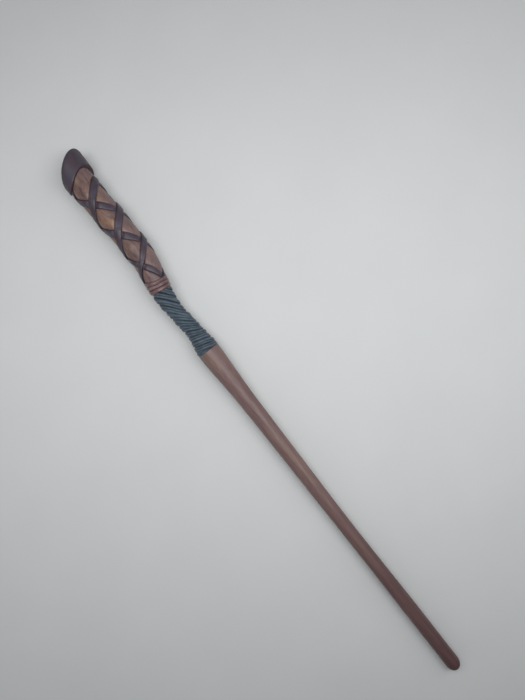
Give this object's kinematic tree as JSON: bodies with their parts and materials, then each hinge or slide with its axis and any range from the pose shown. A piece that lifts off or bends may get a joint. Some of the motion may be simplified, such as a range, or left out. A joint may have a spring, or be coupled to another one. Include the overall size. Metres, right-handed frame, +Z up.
{
  "type": "magic wand",
  "caption": "Tapered wooden magic wand with a crooked, strap-wound grip, an oblique dark pommel cap, a ringed collar and a cord-wound neck.",
  "frame": {"origin": "on the surface that the wand lies on, below the middle of its box", "axes": "+X along the wand towards its tip, +Y towards the side that the handle bows out to, +Z up from the surface"},
  "size_m": [0.3769, 0.0198, 0.0196],
  "materials": {
    "shaft_wood": "satin, fine grain along the shaft",
    "grip_wood": "satin, strong reddish grain",
    "pommel": "dark stained, smooth satin",
    "strap": "dark, worn, slightly glossy",
    "collar": "reddish tan, satin",
    "cord": "dark blue-grey waxed cord",
    "peg_wood": "plain sawn dowel"
  },
  "bodies": {
    "root": {"shaft": "shaft_wood", "grip_core": "grip_wood", "pommel_cap": "pommel", "pommel_peg": "peg_wood", "under_strap_1": "strap", "under_strap_2": "strap", "over_strap_1": "strap", "over_strap_2": "strap", "collar_ring_rear": "collar", "collar_ring_middle": "collar", "collar_ring_front": "collar", "cord_wrap": "cord"}
  },
  "joints": []
}
